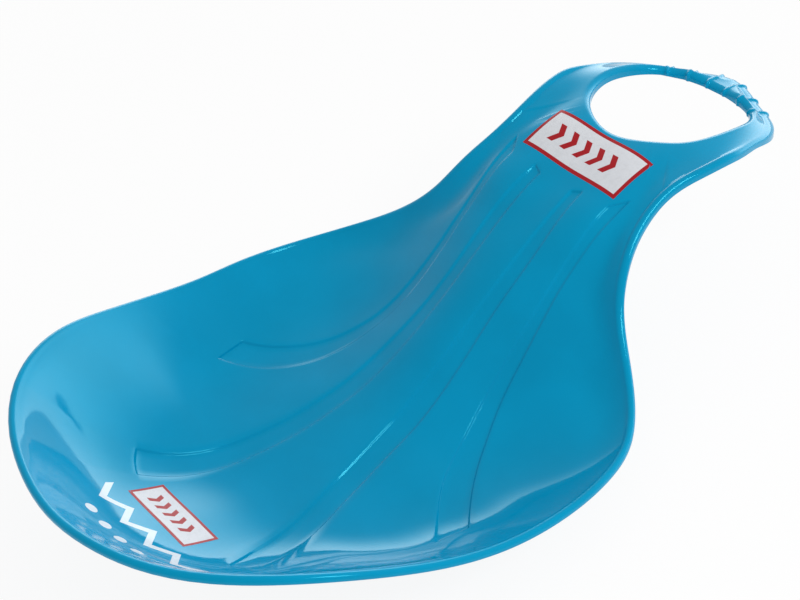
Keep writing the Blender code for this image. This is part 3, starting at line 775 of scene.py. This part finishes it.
class SledLabels(bpy.types.PropertyGroup):
    """Sizes and colours of the applied labels."""
    neck_size: FloatVectorProperty(
        name="Neck label", description="Size across and along the sled, in millimetres",
        size=2, default=(96.5, 39), min=10, max=150)
    neck_turn: FloatProperty(
        name="Neck label turn", description="How far the neck label is turned from square",
        subtype="ANGLE", default=np.radians(-1.8))
    frame: FloatProperty(
        name="Frame", description="Width of the printed frame as a share of the size across",
        default=0.03, min=0.01, max=0.1)
    front_size: FloatVectorProperty(
        name="Front label", description="Size across and along the sled, in millimetres",
        size=2, default=(67, 25.5), min=10, max=150)
    film: FloatProperty(
        name="Film", description="Thickness of the film in millimetres", default=0.15, min=0.05, max=1)
    paper: FloatVectorProperty(
        name="Ground", description="Colour of the label's ground", subtype="COLOR", size=3,
        default=(0.87, 0.88, 0.9), min=0, max=1)
    ink: FloatVectorProperty(
        name="Ink", description="Colour of the label's frame and marks", subtype="COLOR", size=3,
        default=(0.66, 0.0, 0.07), min=0, max=1)


class SledStudio(bpy.types.PropertyGroup):
    """Camera and light."""
    lens: FloatProperty(
        name="Lens", description="Focal length", subtype="DISTANCE_CAMERA", default=72, min=10, max=300)
    eye: FloatVectorProperty(
        name="Eye", description="Place of the camera in millimetres, along the rails", size=3,
        default=(687.7, -514.6, 811.8))
    azimuth: FloatProperty(
        name="Azimuth", description="Direction of the camera round the sled", subtype="ANGLE",
        default=np.radians(55.04))
    elevation: FloatProperty(
        name="Elevation", description="Height of the camera above the horizon", subtype="ANGLE",
        default=np.radians(40.36))
    roll: FloatProperty(
        name="Roll", description="Turn of the camera about its view", subtype="ANGLE",
        default=np.radians(-7.10))
    fill: FloatProperty(
        name="Fill", description="Strength of the room's even light", default=0.59, min=0, max=3)
    key: FloatProperty(
        name="Key", description="How much lighter the room is on its lit side", default=0.15, min=0, max=3)
    key_azimuth: FloatProperty(
        name="Key azimuth", description="Direction of the lit side round the sled", subtype="ANGLE",
        default=np.radians(108))
    key_elevation: FloatProperty(
        name="Key elevation", description="Height of the lit side above the horizon", subtype="ANGLE",
        default=np.radians(47))
    softbox: FloatProperty(
        name="Softbox", description="Power of the softbox on the lit side", subtype="POWER",
        default=6.5, min=0, max=50)
    softbox_size: FloatProperty(
        name="Softbox size", description="Side of the softbox", subtype="DISTANCE", default=0.45,
        min=0.1, max=2)
    softbox_distance: FloatProperty(
        name="Softbox distance", description="How far the softbox stands from the sled",
        subtype="DISTANCE", default=1.6, min=0.8, max=3)
    cove: FloatProperty(
        name="Cove", description="Strength of the bright cove behind the sled", default=2.6, min=0, max=6)
    cove_azimuth: FloatProperty(
        name="Cove azimuth", description="Direction of the cove round the sled", subtype="ANGLE",
        default=np.radians(-155))


class SLED_OT_moulding(bpy.types.Operator):
    """Model the sled's one-piece moulding and give it its plastic"""
    bl_idname = "sled.moulding"
    bl_label = "Moulding"

    def execute(self, context):
        sizes = context.scene.sled_moulding
        mesh = bmesh.new()
        runner = mesh.verts.layers.float.new("runner")
        ring = mesh.verts.layers.float.new("ring")
        lift = mesh.verts.layers.float_vector.new("lift")
        sink = mesh.verts.layers.float_vector.new("sink")
        inside = mesh.verts.layers.float.new("inside")
        sole = mesh.verts.layers.float.new("sole")
        self.half_skin(mesh, sizes, runner, ring)
        bmesh.ops.remove_doubles(mesh, verts=mesh.verts, dist=MERGE)
        bmesh.ops.mirror(mesh, geom=mesh.verts[:] + mesh.edges[:] + mesh.faces[:],
                         matrix=Matrix.Identity(4), merge_dist=MIRROR_MERGE, axis="X")
        bmesh.ops.remove_doubles(mesh, verts=mesh.verts, dist=MERGE)
        bmesh.ops.recalc_face_normals(mesh, faces=mesh.faces)
        if sum(face.normal.z * face.calc_area() for face in mesh.faces) < 0:
            bmesh.ops.reverse_faces(mesh, faces=mesh.faces)
        self.relief(mesh, sizes, runner, ring, lift, sink)
        self.soles(mesh, sizes.sole * MM, runner, sole)
        self.wall(mesh, sizes.wall * MM, lift, sink, sole, inside)

        shell = finished(context, "sled_moulding", mesh, MOULDING_SHARP)
        shell.data.materials.append(self.plastic(sizes.plastic, sizes.print_colour))
        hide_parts("sled_shell")
        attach(shell, "root")
        return {"FINISHED"}

    def half_skin(self, mesh, sizes, runner, ring):
        """Half of the upper skin as an open mesh, flat where the runners and rings will be."""
        grid, sunk, last_s, edge_s = fan(sizes.runner_flank)
        lay_grid(mesh, grid, {runner: sunk})

        neck_row = grid[:, 0]
        crest, lines = handle_lines(neck_row, edge_s[0], sizes.ring_half_width)
        hole_s = np.array([line[0] for line in lines])
        rings = np.array([line[2] for line in lines])
        arc_s = np.array([line[1] for line in lines[len(neck_row):]])
        inner = crest(hole_s)
        inner[[0, -1], 0] = 0
        outer = np.concatenate([neck_row, rim(arc_s)])
        shares = np.linspace(0, 1, HANDLE_ROWS + 1)[:, None, None]
        plan = outer[:, :2] * (1 - shares) + inner * shares
        z = height(plan[..., 0], plan[..., 1])
        z[0] = outer[:, 2]
        handle = np.concatenate([plan, z[..., None]], -1)
        made = lay_grid(mesh, handle, {ring: RING_RIDGE * np.broadcast_to(rings, z.shape)})
        between = [vert for vert in made if not vert.is_boundary]
        for _ in range(HANDLE_SMOOTHING):
            bmesh.ops.smooth_vert(mesh, verts=between, factor=0.5, use_axis_z=True)

        outward = -crest.outward(hole_s)
        outward[[0, -1]] = ((0, 1), (0, -1))
        flat = 0 * hole_s
        flange = rolled(handle[-1], outward, flat, HOLE_ROLL + flat, HOLE_DROP + flat,
                        lambda p: hole_lower_edge(p[:, 1]))
        lay_grid(mesh, flange, {ring: knobs(len(flange)) * rings})

        edge_s_all = np.concatenate([last_s, edge_s[-2::-1], arc_s])
        edge_rings = np.concatenate([np.zeros(len(edge_s_all) - len(arc_s)), rings[len(neck_row):]])
        rows = rim_bead(edge_s_all)
        lay_grid(mesh, rows, {ring: knobs(len(rows)) * edge_rings})

    def relief(self, mesh, sizes, runner, ring, lift, sink):
        """Work out how far the rings stand out and, square to the skin, how deep the runners lie."""
        mesh.normal_update()
        for vert in mesh.verts:
            upward = max(vert.normal.z, 0.0)
            vert[lift] = vert.normal * (vert[ring] * sizes.ring_height * MM)
            vert[sink] = vert.normal * (-vert[runner] * sizes.runner_depth * upward * MM)

    def soles(self, mesh, thickness, runner, sole):
        """Work out how much thicker the wall is under the inner runners in the pan."""
        start, full, fade, end = SOLE_ROWS
        for vert in mesh.verts:
            y = vert.co.y / MM + MIDDLE_Y
            share = ease((start - y) / (start - full)) * ease((y - end) / (fade - end))
            share *= ease((SOLE_REACH[1] - abs(vert.co.x / MM)) / (SOLE_REACH[1] - SOLE_REACH[0]))
            vert[sole] = vert[runner] * share * thickness

    def wall(self, mesh, thickness, lift, sink, sole, inside):
        """Give the skin its wall, press the relief into it and flatten the soles."""
        upper = mesh.verts[:]
        made = bmesh.ops.extrude_face_region(mesh, geom=mesh.faces[:], use_keep_orig=True)
        lower = [item for item in made["geom"] if isinstance(item, bmesh.types.BMVert)]
        mesh.normal_update()
        for vert in lower:
            vert.co += vert[sink] - vert.normal * (thickness + vert[sole])
        for vert in upper:
            vert.co += vert[sink] + vert[lift]
            vert[inside] = 1.0
        for vert in mesh.verts:
            vert.co.z = max(vert.co.z, 0.0)
        bmesh.ops.recalc_face_normals(mesh, faces=mesh.faces)

    def print_marks(self, finish, point):
        """Where the front wall's inner side is printed, from 0 to 1."""
        across, along, rise = finish.split(point)
        behind = along + (MIDDLE_Y - PRINT_START[0])
        up = (rise - PRINT_START[1]) * WALL_RISE - behind * WALL_LEAN
        crest = (across - ZIGZAG_ENDS[0]).wave(ZIGZAG_RISE)
        zigzag = 1 - abs(up - crest - ZIGZAG_FOOT).soft_step(*ZIGZAG_EDGE)
        zigzag = zigzag * across.between(*ZIGZAG_ENDS)
        beside = (across - DOT_ENDS[0] - DOT_SPACING / 2).wave(DOT_SPACING / 2)
        above = up - DOT_LINE
        dots = 1 - (beside * beside + above * above).soft_step(*DOT_EDGE)
        dots = dots * across.between(*DOT_ENDS)
        ahead = 1 - along.soft_step(*(y - MIDDLE_Y for y in PRINT_BACK))
        inside = finish.attribute("inside").soft_step(start=0.9, end=0.99)
        return zigzag.greater(dots) * ahead * inside

    def plastic(self, colour, print_colour):
        """Glossy polyethylene with a faint mottle, fine grain, light scuffs and its print."""
        finish = Finish("cyan_polyethylene")
        point = finish.position()
        marks = self.print_marks(finish, point)
        mottle = finish.noise(point, scale=0.02, detail=3).soft_step(0.3, 0.7)
        base = linear(colour)
        tint = finish.mix(mottle, darker(base, MOTTLE_SHADE), base)
        scuff = finish.noise(point, scale=0.06, detail=4, roughness=0.55).soft_step(0.45, 0.75)
        grain = finish.noise(point, scale=0.35, detail=3, roughness=0.6)
        bump = finish.node("ShaderNodeBump", None, {"Strength": GRAIN_STRENGTH,
                                                    "Distance": GRAIN_DEPTH, "Height": grain})
        finish.surface({
            "Base Color": finish.mix(marks, tint, linear(print_colour)),
            "Roughness": scuff * SCUFF_ROUGHNESS + marks * PRINT_ROUGHNESS + GLOSS,
            "Normal": bump.outputs[0],
            "IOR": 1.5,
            "Specular Tint": GLOSS_TINT,
        })
        return finish.material


class SLED_OT_labels(bpy.types.Operator):
    """Lay the two plain printed labels on the moulding"""
    bl_idname = "sled.labels"
    bl_label = "Labels"

    def execute(self, context):
        sizes = context.scene.sled_labels
        pieces = (
            ("label_neck", "neck_label", NECK_LABEL_CENTRE, sizes.neck_size, sizes.neck_turn),
            ("label_front", "front_label", FRONT_LABEL_CENTRE, sizes.front_size, 0.0),
        )
        for name, node, centre, size, turn in pieces:
            label = self.lay(context, name, centre, size, turn, sizes.film)
            label.data.materials.append(self.print_film(name + "_film", size, sizes))
            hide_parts(node)
            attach(label, "root")
        return {"FINISHED"}

    def lay(self, context, name, centre, size, turn, thickness):
        """A film cut to size, laid just over the skin."""
        across, along = np.meshgrid(*(np.linspace(-0.5, 0.5, count) * side
                                      for side, count in zip(size, LABEL_POINTS)))
        x = centre[0] + across * np.cos(turn) - along * np.sin(turn)
        y = centre[1] + across * np.sin(turn) + along * np.cos(turn)
        mesh = bmesh.new()
        sides = [mesh.verts.layers.float.new(side) for side in ("across", "along")]
        points = np.stack([x, y, height(x, y) + LABEL_GAP], -1)
        lay_grid(mesh, points, dict(zip(sides, (across, along))))
        uv = mesh.loops.layers.uv.new("print")
        for face in mesh.faces:
            for loop in face.loops:
                loop[uv].uv = [loop.vert[side] for side in sides]
        bmesh.ops.recalc_face_normals(mesh, faces=mesh.faces)
        if mesh.faces[0].normal.z < 0:
            bmesh.ops.reverse_faces(mesh, faces=mesh.faces)
        bmesh.ops.solidify(mesh, geom=mesh.faces[:], thickness=thickness * MM)
        bmesh.ops.recalc_face_normals(mesh, faces=mesh.faces)
        return finished(context, name, mesh, LABEL_SHARP)

    def print_film(self, name, size, sizes):
        """Printed film: a pale ground with a thin frame and a row of five chevrons."""
        finish = Finish(name)
        across, along, _ = finish.split(finish.node("ShaderNodeUVMap", {"uv_map": "print"}).outputs[0])
        inset = (size[0] / 2 - abs(across)).lesser(size[1] / 2 - abs(along))
        width = size[0] * sizes.frame
        frame = 1 - inset.soft_step(width - FRAME_BLUR, width + FRAME_BLUR)
        slant = (across + abs(along) * CHEVRON_SLANT) / size[0]
        row = slant.wave(CHEVRON_HALF_SPACING) * size[0]
        chevrons = 1 - row.soft_step(*(size[0] * share for share in CHEVRON_EDGE))
        chevrons = chevrons * slant.between(*CHEVRON_ENDS, soft=0.002)
        chevrons = chevrons * (1 - abs(along).soft_step(*(size[1] * share for share in CHEVRON_TOP)))
        worn = finish.noise(finish.position(), scale=0.25, detail=4, roughness=0.6)
        paper = linear(sizes.paper)
        ground = finish.mix(worn.soft_step(0.4, 0.7), paper, darker(paper, WEAR_SHADE))
        finish.surface({
            "Base Color": finish.mix(frame.greater(chevrons), ground, linear(sizes.ink)),
            "Roughness": worn * WEAR_ROUGHNESS + FILM_ROUGHNESS,
            "Specular IOR Level": 0.3,
        })
        return finish.material


class SLED_OT_studio(bpy.types.Operator):
    """Set up the white floor, the soft light and the camera"""
    bl_idname = "sled.studio"
    bl_label = "Studio"

    def execute(self, context):
        studio = context.scene.sled_studio
        context.scene.view_settings.view_transform = "Standard"
        self.camera(context, studio)
        self.floor(context)
        self.softbox(context, studio)
        self.world(context, studio)
        return {"FINISHED"}

    def camera(self, context, studio):
        """The camera at the photograph's place."""
        data = bpy.data.cameras.new("camera")
        data.lens, data.sensor_width, data.clip_end = studio.lens, SENSOR_WIDTH, SIGHT
        camera = bpy.data.objects.new("camera", data)
        turn = Matrix.Rotation(studio.azimuth, 4, "Z")
        turn = turn @ Matrix.Rotation(np.pi / 2 - studio.elevation, 4, "X")
        turn = turn @ Matrix.Rotation(studio.roll, 4, "Z")
        camera.matrix_world = Matrix.Translation(placed(*studio.eye)) @ turn
        context.scene.collection.objects.link(camera)
        context.scene.camera = camera

    def floor(self, context):
        """A pale matte floor with the sled's shadow, nearly white to the camera and in the gloss."""
        mesh = bmesh.new()
        bmesh.ops.create_grid(mesh, x_segments=1, y_segments=1, size=FLOOR_HALF)
        bmesh.ops.translate(mesh, verts=mesh.verts, vec=(0, 0, -FLOOR_DROP))
        floor = finished(context, "floor", mesh, MOULDING_SHARP)
        finish = Finish("white_floor")
        matte = finish.node("ShaderNodeBsdfDiffuse", None, {"Color": FLOOR_COLOUR})
        glow = finish.node("ShaderNodeEmission", None, {"Color": WHITE, "Strength": 1.0})
        rays = finish.node("ShaderNodeLightPath").outputs
        seen = Value(finish, rays["Is Camera Ray"]).greater(rays["Is Glossy Ray"])
        finish.blend(seen * FLOOR_WHITE, matte, glow)
        floor.data.materials.append(finish.material)

    def softbox(self, context, studio):
        """A square soft light on the lit side, turned to the sled."""
        data = bpy.data.lights.new("softbox", "AREA")
        data.energy, data.size = studio.softbox, studio.softbox_size
        lamp = bpy.data.objects.new("softbox", data)
        way = Vector(direction(studio.key_azimuth, studio.key_elevation))
        turn = way.to_track_quat("Z", "Y").to_matrix().to_4x4()
        lamp.matrix_world = Matrix.Translation(way * studio.softbox_distance) @ turn
        context.scene.collection.objects.link(lamp)

    def world(self, context, studio):
        """A pale room, lighter on one side, with a bright low cove beyond the sled."""
        world = bpy.data.worlds.new("white_room")
        context.scene.world = world
        world.use_nodes = True
        room = Finish("white_room", world.node_tree, "ShaderNodeOutputWorld")
        way = room.node("ShaderNodeTexCoord").outputs["Generated"]
        side = room.dot(way, direction(studio.key_azimuth, studio.key_elevation))
        far = room.dot(way, direction(studio.cove_azimuth, 0)).soft_step(*COVE_SIDE)
        rise = room.split(way)[2]
        low = rise.soft_step(*COVE_FOOT) * (1 - rise.soft_step(*COVE_TOP))
        light = side * studio.key + studio.fill + far * low * studio.cove
        lit = room.node("ShaderNodeBackground", None, {"Color": WHITE, "Strength": light})
        white = room.node("ShaderNodeBackground", None, {"Color": WHITE, "Strength": 1.0})
        room.blend(room.node("ShaderNodeLightPath").outputs["Is Camera Ray"], lit, white)


class SLED_PT_panel(bpy.types.Panel):
    """Steps that build the sled"""
    bl_idname = "SLED_PT_panel"
    bl_label = "Shovel sled"
    bl_space_type = "VIEW_3D"
    bl_region_type = "UI"
    bl_category = "Sled"

    def draw(self, context):
        for step in STEPS:
            self.layout.operator(step.bl_idname)


STEPS = (SLED_OT_moulding, SLED_OT_labels, SLED_OT_studio)
CLASSES = (SledMoulding, SledLabels, SledStudio, *STEPS, SLED_PT_panel)


def register():
    for item in CLASSES:
        bpy.utils.register_class(item)
    bpy.types.Scene.sled_moulding = PointerProperty(type=SledMoulding)
    bpy.types.Scene.sled_labels = PointerProperty(type=SledLabels)
    bpy.types.Scene.sled_studio = PointerProperty(type=SledStudio)


def unregister():
    del bpy.types.Scene.sled_studio
    del bpy.types.Scene.sled_labels
    del bpy.types.Scene.sled_moulding
    for item in reversed(CLASSES):
        bpy.utils.unregister_class(item)


def main():
    register()
    bpy.ops.sled.moulding()
    bpy.ops.sled.labels()
    bpy.ops.sled.studio()


if __name__ == "__main__":
    main()
